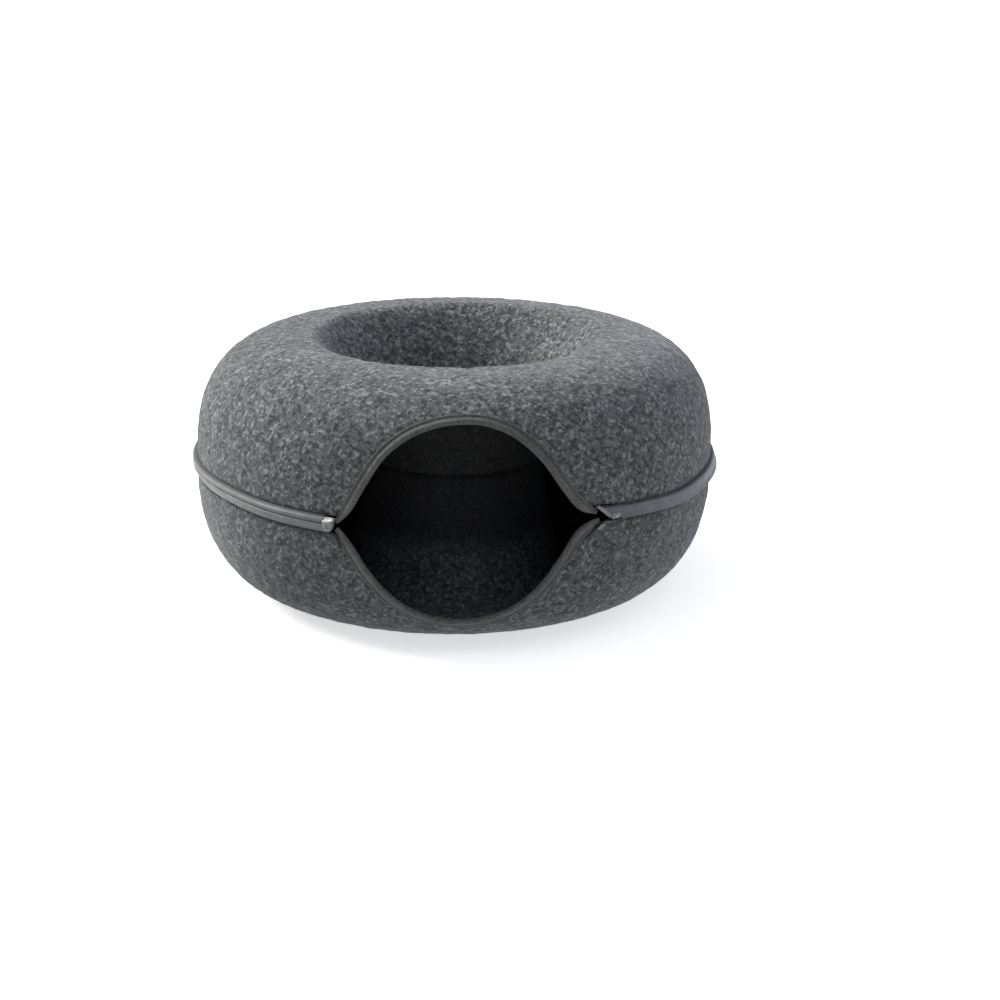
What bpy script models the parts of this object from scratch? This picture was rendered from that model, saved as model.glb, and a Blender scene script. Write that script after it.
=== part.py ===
"""A felt cat cave: a hollow doughnut of two moulded felt shells, zipped together round the middle.

Metres, +Z up. The base rests on z = 0, and the origin lies under the middle of the whole outline.
The doorway faces -Y. Angles go round the doughnut's axis in degrees from the doorway's side:
0 is -Y, 90 is +X, 180 is +Y and -90 is -X. Arcs go over the felt from the zip's middle.
"""

import math

import bpy
import numpy as np

MM = 0.001

# The doughnut, on the outside of the felt
FELT_RADIUS = 0.246
HEIGHT = 0.238
SEAM_HEIGHT = 0.1225
THROAT_RADIUS = 0.082
AXIS_Y = -0.007

# The two half shells. Each goes from the zip over a level ring (the crest, or the base) to the
# throat. A power of 2 is a quarter of an ellipse, and a higher one is fuller.
HALVES = {
    #         side up, level,  ring_out, ring_in, shoulder power, funnel power
    "upper": (+1, HEIGHT, 0.139, 0.139, 2.83, 1.5),
    "lower": (-1, 0.0, 0.138, 0.110, 2.63, 1.5),
}

FELT_THICK = 4.5 * MM
CLOTH_THICK = 1.2 * MM
GAP = 0.3 * MM

# The doorway, cut through both shells. Felt edge and rim are arcs from the zip's middle in
# millimetres, up and down. The rim is the outermost line of the binding, which pulls away from
# the felt at the two corners.
DOORWAY = (
    # angle, felt up, rim up, rim down, felt down
    (-26.0, 3.0, -6.0, 0.0, 4.0),
    (-24.0, 12.0, 0.0, 5.0, 13.0),
    (-21.0, 29.0, 13.0, 17.0, 30.0),
    (-18.0, 45.0, 36.0, 37.0, 45.0),
    (-15.0, 62.0, 57.5, 54.5, 59.0),
    (-11.0, 77.8, 74.8, 72.3, 75.8),
    (-6.0, 88.7, 86.5, 86.0, 88.5),
    (1.0, 94.8, 92.8, 94.3, 96.3),
    (8.0, 91.3, 89.0, 89.0, 91.5),
    (14.0, 77.0, 74.0, 74.0, 77.0),
    (18.0, 60.3, 55.8, 55.2, 59.7),
    (22.0, 38.0, 30.5, 29.6, 38.6),
    (25.0, 25.7, 14.2, 10.0, 26.0),
    (29.0, 13.5, 6.0, 0.5, 13.5),
    (33.0, 2.0, 4.0, 1.0, 2.0),
)

# The zip band: the felt stops this far above and below its middle, and both tapes stand proud
BAND_UP = 8.0 * MM
BAND_DOWN = 9.5 * MM
BAND_PROUD = 4.0 * MM
BAND_RISE = 4.0 * MM  # the band climbs towards the doorway's right corner
BAND_RISE_ANGLES = (38.0, 75.0)
PARTING_SHIFT = 3.2 * MM  # the tapes meet above the middle on the left, below it on the right
TAPE_SECTION = (
    # share of the way from the felt's edge to the meeting line, share of BAND_PROUD
    (0.0, 0.15),
    (0.25, 1.0),
    (0.7, 1.0),
    (1.0, 0.4),
)
SEWN_MARGIN = 8.0 * MM
TAPE_ENDS = (31.5, 332.6)
OPEN_TAPE_ANGLES = (34.6, 37.5)  # the tapes part round the slider

BINDING_WIDTH = 8.0 * MM
BINDING_ANGLES = {"upper": (-23.6, 29.2), "lower": (-23.4, 30.6)}
BINDING_TAPER = 0.07  # of its length, at each end
BINDING_STATIONS = 30
BINDING_SLACK = (0.6 * MM, 1.0 * MM)  # between its legs and the felt, outside and inside

SLIDER_ANGLE = 33.6
SLIDER_SIZE = (9.0 * MM, 4.6 * MM, 6.4 * MM)  # along the zip, through it, up
CLIP_ANGLE = -26.35
CLIP_SIZE = (7.8 * MM, 6.4 * MM, 15.0 * MM)

FRONT_ANGLES = (-28.0, 38.4)  # the columns of the mesh are closer together across the doorway
FRONT_COLUMNS = 29
BACK_COLUMNS = 34
FIRST_ROW = 12.0 * MM  # from the cut edge
WALL_ROWS = (0.0, 0.3, 0.56, 0.78)  # shares of the way from the first row to the wall's top
WALL_TOP = 0.82  # share of the way from the zip to the level ring
FUNNEL_ROWS = (0.16, 0.4, 0.7, 1.0)  # shares of the way from the level ring to the throat
CURVE_POINTS = 600  # for each quarter of the profile, before it is read every millimetre


def smooth(low, high, value):
    """0 below low, 1 above high, and an S-curve between."""
    share = np.clip((value - low) / (high - low), 0, 1)
    return share * share * (3 - 2 * share)


def quarter(power):
    """The cosine and sine of a superellipse's quarter turn."""
    turn = np.linspace(0, math.pi / 2, CURVE_POINTS)
    return np.cos(turn) ** (2 / power), np.sin(turn) ** (2 / power)


def profile(half):
    """Arc, radius, height and outward normal at each millimetre from the zip to the throat."""
    side, level, ring_out, ring_in, shoulder, funnel = HALVES[half]
    out, up = quarter(shoulder)
    inward, down = (run[::-1] for run in quarter(funnel))
    radius = np.r_[
        ring_out + (FELT_RADIUS - ring_out) * out,
        ring_in - (ring_in - THROAT_RADIUS) * inward,
    ]
    height = SEAM_HEIGHT + (level - SEAM_HEIGHT) * np.r_[up, down]
    arc = np.r_[0, np.cumsum(np.hypot(np.diff(radius), np.diff(height)))]
    even = np.linspace(0, arc[-1], round(arc[-1] / MM) + 1)
    radius, height = np.interp(even, arc, radius), np.interp(even, arc, height)
    along_radius, along_height = np.gradient(radius, even), np.gradient(height, even)
    length = np.hypot(along_radius, along_height)
    return even, radius, height, side * along_height / length, -side * along_radius / length


PROFILES = {half: profile(half) for half in HALVES}


def level_arcs(half):
    """The arcs at which the level ring starts and ends, and the arc of the throat."""
    arc, radius, *_ = PROFILES[half]
    ring_out, ring_in = HALVES[half][2:4]
    falling = radius[::-1]
    return np.interp([ring_out, ring_in, THROAT_RADIUS], falling, arc[::-1])


def on_felt(half, angle, arc, lift):
    """Points at a lift outside the felt's outer skin, which goes on straight past the zip."""
    even, radius, height, normal_radius, normal_height = PROFILES[half]
    turn = np.radians(angle)
    past = HALVES[half][0] * np.minimum(arc, 0)
    reach = np.interp(arc, even, radius) + lift * np.interp(arc, even, normal_radius)
    level = np.interp(arc, even, height) + lift * np.interp(arc, even, normal_height)
    return np.stack([reach * np.sin(turn), -reach * np.cos(turn), level + past + 0 * turn], -1)


def doorway(column, angle):
    """A column of the DOORWAY table at an angle, on a smooth curve through its rows, in metres."""
    table = np.array(DOORWAY)
    knots, values = table[:, 0], table[:, column] * MM
    slopes = np.gradient(values, knots)
    row = np.clip(np.searchsorted(knots, angle) - 1, 0, len(knots) - 2)
    width = knots[row + 1] - knots[row]
    t = np.clip((angle - knots[row]) / width, 0, 1)
    return (
        (2 * t**3 - 3 * t**2 + 1) * values[row]
        + (t**3 - 2 * t**2 + t) * width * slopes[row]
        + (3 * t**2 - 2 * t**3) * values[row + 1]
        + (t**3 - t**2) * width * slopes[row + 1]
    )


def turned(angle):
    """The same angle between -180 and 180."""
    return (np.asarray(angle) + 180) % 360 - 180


def zip_rise(angle):
    """How far the zip's middle lies above the seam height."""
    angle = turned(angle)
    return BAND_RISE * smooth(0, 10, angle) * (1 - smooth(*BAND_RISE_ANGLES, angle))


def felt_edge(half, angle):
    """The arc at which a shell's outer wall starts: at the zip, or at the doorway's cut."""
    angle = turned(angle)
    if half == "upper":
        return np.maximum(BAND_UP + zip_rise(angle), doorway(1, angle))
    return np.maximum(BAND_DOWN - zip_rise(angle), doorway(4, angle))


def columns():
    """The angles of the shells' columns, closer together across the doorway."""
    left, right = FRONT_ANGLES
    back = np.linspace(right, left + 360, BACK_COLUMNS + 2)
    return np.r_[np.linspace(left, right, FRONT_COLUMNS), back[1:-1]]


def thickened(line, thickness):
    """A closed section: a line of points, and the same line moved to its left by a thickness."""
    steps = np.diff(line, axis=1)
    steps /= np.linalg.norm(steps, axis=2, keepdims=True)
    before = np.concatenate([steps[:, :1], steps], axis=1)
    after = np.concatenate([steps, steps[:, -1:]], axis=1)
    mean = (before + after) / 2
    left = np.stack([-mean[..., 1], mean[..., 0]], -1)
    left /= (left**2).sum(axis=2, keepdims=True)
    return np.concatenate([line, (line + thickness * left)[:, ::-1]], axis=1)


def swept(name, sections, material, ring=False):
    """An object through sections of points: closed into a ring, or with a face at each end."""
    stations, points, _ = sections.shape
    mesh = bpy.data.meshes.new(name)
    here = np.arange(stations if ring else stations - 1)
    there = (here + 1) % stations
    point = np.arange(points)
    after = (point + 1) % points
    first, second = here[:, None] * points, there[:, None] * points
    quads = np.stack([first + point, second + point, second + after, first + after], -1)
    faces = quads.reshape(-1, 4).tolist()
    if not ring:
        faces += [point.tolist(), ((stations - 1) * points + point[::-1]).tolist()]
    mesh.from_pydata(sections.reshape(-1, 3).tolist(), [], faces)
    mesh.materials.append(material)
    mesh.shade_smooth()
    mesh.set_sharp_from_angle(angle=math.radians(40))
    piece = bpy.data.objects.new(name, mesh)
    piece.location = (0, AXIS_Y, 0)
    bpy.context.collection.objects.link(piece)
    return piece


def cloth(name, color, roughness, metallic=0.0):
    material = bpy.data.materials.new(name)
    material.use_nodes = True
    shader = material.node_tree.nodes["Principled BSDF"]
    shader.inputs["Base Color"].default_value = (*color, 1)
    shader.inputs["Roughness"].default_value = roughness
    shader.inputs["Metallic"].default_value = metallic
    return material


def felt_shell(half, material):
    """Half a hollow doughnut: an outer and an inner skin, joined at the cut edge and the throat."""
    angle = columns()
    ring_out, ring_in, throat = level_arcs(half)
    wall_top = WALL_TOP * ring_out
    edge = felt_edge(half, angle)[:, None]
    first = edge + FIRST_ROW
    wall = first + (wall_top - first) * np.array(WALL_ROWS)
    level = [wall_top, ring_out]
    if ring_in > ring_out + MM:
        level.append(ring_in - MM)
    funnel = ring_in + (throat - GAP - ring_in) * np.array(FUNNEL_ROWS)
    fixed = np.tile(np.r_[level, funnel], (len(angle), 1))
    arcs = np.concatenate([edge, wall, fixed], axis=1)
    outer = on_felt(half, angle[:, None], arcs, 0)
    inner = on_felt(half, angle[:, None], arcs, -FELT_THICK)
    sections = np.concatenate([outer, inner[:, ::-1]], axis=1)
    if half == "lower":
        sections = sections[:, ::-1]
    return swept(f"felt_{half}", sections, material, ring=True)


def binding(half, material):
    """A strip folded over the cut edge, pinched flat and narrow at its two loose tips."""
    side = HALVES[half][0]
    column = 2 if half == "upper" else 3
    start, end = BINDING_ANGLES[half]
    even = np.linspace(0, 1, BINDING_STATIONS)
    share = 0.4 * even + 0.3 * (1 - np.cos(math.pi * even))  # closer together at the tips
    angle = start + (end - start) * share
    rim = doorway(column, angle)
    around = np.radians(angle) * FELT_RADIUS
    slope = np.gradient(rim, around)
    length = np.hypot(slope, 1)
    full = smooth(0, BINDING_TAPER, np.minimum(share, 1 - share))
    width = BINDING_WIDTH * (0.4 + 0.6 * full)
    outside, inside = BINDING_SLACK
    middle = (outside - FELT_THICK - inside) / 2
    half_open = (FELT_THICK + outside + inside) / 2 * full + 0.5 * MM * (1 - full)
    turn_in = CLOTH_THICK + 0.5 * MM
    depth = np.stack([width, width * 0 + turn_in, width * 0 + CLOTH_THICK], -1)
    depth = np.concatenate([depth, depth[:, ::-1]], axis=1)
    lift = np.stack([half_open, half_open, 0.45 * half_open], -1)
    lift = middle + np.concatenate([lift, -lift[:, ::-1]], axis=1)
    section = thickened(np.stack([depth, lift], -1), -CLOTH_THICK)
    into_felt, lift = section[..., 0], section[..., 1]
    arc = rim[:, None] + into_felt / length[:, None]
    shift = np.degrees(into_felt * (slope / length)[:, None] / FELT_RADIUS)
    points = on_felt(half, angle[:, None] - shift, arc, lift)
    if side < 0:
        points = points[:, ::-1]
    return swept(f"binding_{half}", points, material)


def parting(angle):
    """The height, from the seam height, of the line where the two tapes meet."""
    return zip_rise(angle) - PARTING_SHIFT * np.tanh(2.2 * np.sin(np.radians(angle)))


def zip_tape(half, material):
    """A tape sewn behind the felt's edge and rolled outwards to the line where the two meet."""
    side = HALVES[half][0]
    start, end = TAPE_ENDS
    open_end = np.arange(start, OPEN_TAPE_ANGLES[1], 1.2)
    behind = columns()[(columns() > OPEN_TAPE_ANGLES[1]) & (columns() < end - 1)]
    angle = np.r_[open_end, behind, end]
    opening = 1 - smooth(*OPEN_TAPE_ANGLES, angle)
    apart = GAP / 2 + opening * (SLIDER_SIZE[2] + GAP) / 2
    felt = felt_edge(half, np.maximum(angle, OPEN_TAPE_ANGLES[0]))
    top, meeting = felt - GAP, side * parting(angle) + apart
    share, proud = np.array(TAPE_SECTION).T
    visible = top[:, None] + (meeting - top)[:, None] * share
    arc = np.concatenate([(felt + SEWN_MARGIN)[:, None], top[:, None], visible], axis=1)
    sewn = -FELT_THICK - GAP
    lift = np.tile(np.r_[sewn, sewn, BAND_PROUD * proud], (len(angle), 1))
    section = thickened(np.stack([lift, arc], -1), -CLOTH_THICK)
    points = on_felt(half, angle[:, None], section[..., 1], section[..., 0])
    if side > 0:
        points = points[:, ::-1]
    return swept(f"zip_tape_{half}", points, material)


def block(name, angle, size, reach, height, bevel, material):
    """A rounded block on the zip, turned to face outwards."""
    bpy.ops.mesh.primitive_cube_add(size=1)
    piece = bpy.context.object
    piece.name = name
    piece.data.transform(np.diag([*size, 1]).tolist())
    turn = math.radians(angle)
    piece.location = (reach * math.sin(turn), AXIS_Y - reach * math.cos(turn), height)
    piece.rotation_euler = (0, 0, turn)
    rounding = piece.modifiers.new("rounding", "BEVEL")
    rounding.width = bevel
    rounding.segments = 2
    piece.data.materials.append(material)
    return piece


def main():
    for old in list(bpy.data.objects):
        bpy.data.objects.remove(old)
    felt = cloth("grey_felt", (0.075, 0.078, 0.082), 0.95)
    trim = cloth("grey_binding", (0.085, 0.088, 0.086), 0.8)
    tape = cloth("zip_tape", (0.14, 0.14, 0.15), 0.6)
    fitting = cloth("zip_fitting", (0.5, 0.5, 0.5), 0.4)
    for half in HALVES:
        felt_shell(half, felt)
        binding(half, trim)
        zip_tape(half, tape)
    slider_height = SEAM_HEIGHT + float(parting(SLIDER_ANGLE))
    slider_reach = FELT_RADIUS + BAND_PROUD - SLIDER_SIZE[1] / 2 + 1.4 * MM
    block("zip_slider", SLIDER_ANGLE, SLIDER_SIZE, slider_reach, slider_height, MM, fitting)
    clip_height = SEAM_HEIGHT + (BAND_UP - BAND_DOWN) / 2
    clip_reach = FELT_RADIUS + BAND_PROUD - CLIP_SIZE[1] / 2 + 0.8 * MM
    block("zip_end_clip", CLIP_ANGLE, CLIP_SIZE, clip_reach, clip_height, 1.2 * MM, fitting)


main()
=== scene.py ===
"""The looks of a felt cat cave: two moulded felt shells, the bindings of its doorway and its zip.

Metres, +Z up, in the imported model's frame. Angles go round the doughnut's axis in degrees from the
doorway's side: 0 is -Y, 90 is +X, 180 is +Y and -90 is -X. Arcs go over the felt from the zip's
middle, up on the upper shell and down on the lower one. A lift is a distance out of the felt's skin.
"""

import math

import bpy
import numpy as np
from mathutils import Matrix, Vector


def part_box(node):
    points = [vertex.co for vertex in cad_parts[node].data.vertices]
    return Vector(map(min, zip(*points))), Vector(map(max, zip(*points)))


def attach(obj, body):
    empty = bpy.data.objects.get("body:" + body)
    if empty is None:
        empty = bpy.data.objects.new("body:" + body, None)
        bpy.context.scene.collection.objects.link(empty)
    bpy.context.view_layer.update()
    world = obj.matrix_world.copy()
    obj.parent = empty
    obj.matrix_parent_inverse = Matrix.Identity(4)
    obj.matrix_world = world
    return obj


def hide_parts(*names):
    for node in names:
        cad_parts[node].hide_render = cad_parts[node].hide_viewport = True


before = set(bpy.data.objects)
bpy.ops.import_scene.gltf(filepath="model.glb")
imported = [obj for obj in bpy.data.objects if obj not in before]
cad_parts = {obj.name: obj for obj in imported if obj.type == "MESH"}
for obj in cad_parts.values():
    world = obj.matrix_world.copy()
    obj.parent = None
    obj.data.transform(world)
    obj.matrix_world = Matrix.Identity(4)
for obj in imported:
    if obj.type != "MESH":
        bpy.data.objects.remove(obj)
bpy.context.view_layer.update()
MM = 0.001

# ---------------------------------------------------------------------------------------------
# The form of the two felt shells. The real ones are cut from thick grey needle felt and pressed
# hot over a mould, so that each keeps the form of half a doughnut without any stiffener.
# ---------------------------------------------------------------------------------------------
felt_low, felt_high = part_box("felt_upper")
FELT_RADIUS = round((felt_high.x - felt_low.x) / 2, 3)
HEIGHT = round(felt_high.z, 3)
SEAM_HEIGHT = 0.1225
THROAT_RADIUS = 0.082
AXIS_Y = -0.007
FELT_THICK = 4.5 * MM
CURVE_POINTS = 600  # of each quarter of the profile

# Each shell goes from the zip over a level ring to the throat, on two quarters of a superellipse.
HALVES = {
    #         side up, level,  ring_out, ring_in, shoulder power, funnel power
    "upper": (+1, HEIGHT, 0.139, 0.139, 2.83, 1.5),
    "lower": (-1, 0.0, 0.138, 0.110, 2.63, 1.5),
}

# The doorway's cut, as arcs in millimetres. The rim is the outermost line of the binding.
DOORWAY = (
    # angle, felt up, rim up, rim down, felt down
    (-26.0, 1.0, -6.0, -1.5, 4.0),
    (-24.0, 6.5, 0.0, 3.8, 13.0),
    (-21.0, 27.5, 13.0, 17.0, 29.0),
    (-18.0, 44.0, 36.0, 37.0, 45.0),
    (-15.0, 61.5, 57.5, 54.5, 58.7),
    (-11.0, 77.5, 74.8, 72.3, 75.8),
    (-6.0, 88.7, 86.5, 86.0, 88.6),
    (1.0, 94.8, 92.8, 94.3, 96.3),
    (8.0, 91.3, 89.0, 89.0, 91.5),
    (14.0, 77.0, 74.0, 74.0, 77.0),
    (18.0, 59.8, 55.8, 55.2, 59.7),
    (22.0, 36.5, 30.5, 29.6, 37.5),
    (25.0, 21.5, 14.2, 10.0, 21.0),
    (29.0, 12.6, 5.7, 0.7, 9.8),
    (33.0, 1.5, 4.0, 1.0, -2.0),
)

# The felt stops this far above and below the zip's middle, which is wider on the left. It climbs
# towards the doorway's right corner and drops a little towards its left one.
BAND_HALF = 6.9 * MM
BAND_SWING = 0.7 * MM
BAND_RISE = 2.6 * MM
BAND_DROP = 1.7 * MM
BAND_START = (0.0, 10.0)  # degrees to each side, where the climb and the drop set in
BAND_TURN = (38.0, 57.0)  # and where they fade
CORNER_FLARE = 3.4 * MM
FLARE_TURN = (20.0, 30.0, 38.0)  # degrees, where the flare starts, is full and ends
SIDE_TURN = 2.2  # how sharply the left side turns into the right one
BAND_SAG = 2.2 * MM  # how far the zip hangs on the right of the doorway
BAND_SAG_AT = (51.0, 14.0)  # degrees, the sag's middle and its width


def smooth(low, high, value):
    """0 below low, 1 above high, and the S-curve 3t^2 - 2t^3 between."""
    share = np.clip((value - low) / (high - low), 0, 1)
    return share * share * (3 - 2 * share)


def bell(away, width, power=2):
    """1 where away is 0 and 1/e a width from there: a Gauss bell, or flatter with a higher power."""
    return np.exp(-((away / width) ** power))


def hermite(knots, values, where):
    """Cubic Hermite curves through values at knots, with the slopes of their neighbours."""
    slopes = np.gradient(values, knots, axis=0)
    row = np.clip(np.searchsorted(knots, where) - 1, 0, len(knots) - 2)
    width = knots[row + 1] - knots[row]
    t = np.clip((where - knots[row]) / width, 0, 1)
    spread = (...,) + (None,) * (np.ndim(values) - 1)
    t, width = t[spread], width[spread]
    return (
        (2 * t**3 - 3 * t**2 + 1) * values[row]
        + (t**3 - 2 * t**2 + t) * width * slopes[row]
        + (3 * t**2 - 2 * t**3) * values[row + 1]
        + (t**3 - t**2) * width * slopes[row + 1]
    )


def quarter(power):
    """A superellipse's quarter turn: cosine and sine, each to the power 2 / power."""
    turn = np.linspace(0, math.pi / 2, CURVE_POINTS)
    return np.cos(turn) ** (2 / power), np.sin(turn) ** (2 / power)


def profile(half):
    """Arc, radius, height and outward normal of the felt, at each millimetre from zip to throat.

    The first quarter turn goes from the zip out to the level ring, and the second one from the
    level ring down, or up, to the throat. The normal is the tangent turned by a right angle.
    """
    side, level, ring_out, ring_in, shoulder, funnel = HALVES[half]
    out, up = quarter(shoulder)
    inward, down = (run[::-1] for run in quarter(funnel))
    radius = np.r_[
        ring_out + (FELT_RADIUS - ring_out) * out,
        ring_in - (ring_in - THROAT_RADIUS) * inward,
    ]
    height = SEAM_HEIGHT + (level - SEAM_HEIGHT) * np.r_[up, down]
    arc = np.r_[0, np.cumsum(np.hypot(np.diff(radius), np.diff(height)))]
    even = np.linspace(0, arc[-1], round(arc[-1] / MM) + 1)
    radius, height = np.interp(even, arc, radius), np.interp(even, arc, height)
    along_radius, along_height = np.gradient(radius, even), np.gradient(height, even)
    length = np.hypot(along_radius, along_height)
    return even, radius, height, side * along_height / length, -side * along_radius / length


PROFILES = {half: profile(half) for half in HALVES}
LEAN = 0.015  # the whole doughnut leans over to the right, by this share of the height
SWAY = 0.7 * MM
SWAY_WAVES = (
    # metres from crest to crest along x, y and z, and the phase
    (0.23, 0.41, 0.37, 0.4),
    (-0.31, 0.19, 0.29, 2.1),
    (0.17, -0.27, 0.33, 4.4),
)


def swayed(points):
    """The points after the lean and the slow unevenness: the mean of three plane waves pushes radially.

    The push dies away near the floor, where the base stands flat. The lean is a shear along x.
    """
    x, y, z = points[..., 0], points[..., 1] - AXIS_Y, points[..., 2]
    push = sum(np.sin(2 * math.pi * (x / a + y / b + z / c) + p) for a, b, c, p in SWAY_WAVES)
    push = SWAY * push / len(SWAY_WAVES) * smooth(0, 0.03, z)
    reach = np.hypot(x, y)
    lean = LEAN * (z - SEAM_HEIGHT)
    return points + np.stack([x / reach * push + lean, y / reach * push, 0 * push], -1)


def on_felt(half, angle, arc, lift):
    """Points at a lift outside the felt's skin: the profile's radius and height, turned by angle.

    Past the zip's middle the skin goes on straight up or down.
    """
    even, radius, height, normal_radius, normal_height = PROFILES[half]
    turn = np.radians(angle)
    past = HALVES[half][0] * np.minimum(arc, 0)
    reach = np.interp(arc, even, radius) + lift * np.interp(arc, even, normal_radius)
    level = np.interp(arc, even, height) + lift * np.interp(arc, even, normal_height)
    x, y = reach * np.sin(turn), AXIS_Y - reach * np.cos(turn)
    return swayed(np.stack([x, y, level + past + 0 * turn], -1))


def doorway(column, angle):
    """A column of the DOORWAY table at an angle, in metres."""
    table = np.array(DOORWAY)
    return hermite(table[:, 0], table[:, column] * MM, angle)


def turned(angle):
    """The same angle between -180 and 180."""
    return (np.asarray(angle) + 180) % 360 - 180


def to_the_right(angle):
    """-1 on the left, 1 on the right, with soft turns at the front and the back."""
    return np.tanh(SIDE_TURN * np.sin(np.radians(angle)))


def zip_rise(angle):
    """How far the zip's middle lies above the seam height: S-curves up and down, less a Gauss bell."""
    angle = turned(angle)
    right, left = smooth(*BAND_START, angle), smooth(*BAND_START, -angle)
    middle, width = BAND_SAG_AT
    sag = BAND_SAG * bell(angle - middle, width)
    return (BAND_RISE * right - BAND_DROP * left) * (1 - smooth(*BAND_TURN, np.abs(angle))) - sag


def zip_edge(half, angle):
    """The arc at which the felt stops along the zip. The upper edge flares at the right corner."""
    start, full, end = FLARE_TURN
    flare = smooth(start, full, turned(angle)) * (1 - smooth(full, end, turned(angle)))
    flare = CORNER_FLARE * flare * (half == "upper")
    return BAND_HALF - BAND_SWING * to_the_right(angle) + HALVES[half][0] * zip_rise(angle) + flare


def felt_edge(half, angle):
    """The arc at which a shell's outer wall starts: at the zip, or at the doorway's cut."""
    column = 1 if half == "upper" else 4
    return np.maximum(zip_edge(half, angle), doorway(column, turned(angle)))


def placed(name, data):
    """An object of this data, in the scene."""
    made = bpy.data.objects.new(name, data)
    bpy.context.scene.collection.objects.link(made)
    return made


def piece_of(name, points, faces, slot, values=None, uv=None):
    """An object of points and faces, with a number at each point for each named attribute.

    uv holds two numbers for each point, which every corner at that point takes.
    """
    mesh = bpy.data.meshes.new(name)
    mesh.from_pydata(points.reshape(-1, 3), [], faces)
    for key, value in (values or {}).items():
        attribute = mesh.attributes.new(key, "FLOAT", "POINT")
        spread = np.broadcast_to(value, points.shape[:-1])
        attribute.data.foreach_set("value", spread.astype(np.float32).ravel())
    if uv is not None:
        corner = np.empty(len(mesh.loops), np.int32)
        mesh.loops.foreach_get("vertex_index", corner)
        layer = mesh.uv_layers.new(name="along_and_across")
        layer.uv.foreach_set("vector", uv.reshape(-1, 2)[corner].astype(np.float32).ravel())
    mesh.shade_smooth()
    piece = placed(name, mesh)
    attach(piece, "root")
    return piece


def swept(name, points, slot, ring=False, flip=False, **extras):
    """A closed skin over stations, each a closed section: point j joins j + 1 and the next station.

    The last station joins the first in a ring, or else both have a face. flip turns faces round.
    """
    stations, count, _ = points.shape
    here = np.arange(stations if ring else stations - 1)[:, None]
    there, point = (here + 1) % stations, np.arange(count)
    after = (point + 1) % count
    corners = (here * count + point, there * count + point, there * count + after, here * count + after)
    faces = list(np.stack(corners, -1).reshape(-1, 4))
    if not ring:
        faces += [point, (stations - 1) * count + point[::-1]]
    if flip:
        faces = [face[::-1] for face in faces]
    return piece_of(name, points, faces, slot, **extras)


FELT_COLUMNS = 480
OUTER_ROWS = 104
INNER_ROWS = 56
CUT_ROWS = 7
CUT_ROUND = 1.8 * MM  # how far the felt's cut edges are rounded
BOUND_FROM = (4.0 * MM, 16.0 * MM)  # from the zip to the cut, where the binding sets in
PRESSED = (0.8 * MM, 1.4 * MM)  # how far the binding presses the felt's outer and inner skin
PRESSED_FULL = 2.0 * MM  # from the cut
PRESSED_WIDTH = (11.0 * MM, 13.0 * MM)
EDGE_REACH = 2.6 * MM  # painted shade: the felt's colour is darkened this far from a cut edge, for the crease shade along the zip and the bindings
SEAM_REACH = {"upper": 1.2 * MM, "lower": 5.0 * MM}  # and this far from the seam at the throat, for the shadow under the upper shell's lip
THROAT_GAP = 0.05 * MM  # from each shell to the seam at the throat, where no light gets through
LUMP = 0.22 * MM
LUMP_WAVES = 26
LUMP_SIZES = (0.009, 0.03)  # metres from crest to crest
LUMP_SEED = 7
LUMPS_FROM = ((6.0 * MM, 20.0 * MM), (0, 8.0 * MM), (0, 15.0 * MM))  # from the cut, throat and floor
INSIDE_SHADE_FROM = (0.025, 0.075)  # metres up, where the painted shade on the inner skin sets in
# how much of that painted shade each shell's inner skin takes; the lower shell takes all of it
INSIDE_SHADE_SHARE = {"upper": 0.85, "lower": 1.0}


def lumps(points):
    """The felt's fine lumpiness: a sum of plane waves in seeded directions, about LUMP deep."""
    draw = np.random.default_rng(LUMP_SEED)
    direction = draw.normal(size=(LUMP_WAVES, 3))
    direction /= np.linalg.norm(direction, axis=1, keepdims=True)
    length = draw.uniform(*LUMP_SIZES, LUMP_WAVES)
    phase = draw.uniform(0, 2 * math.pi, LUMP_WAVES)
    waves = [np.sin(points @ (2 * math.pi * d / s) + p) for d, s, p in zip(direction, length, phase)]
    return LUMP * sum(waves) / math.sqrt(LUMP_WAVES / 2)


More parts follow.
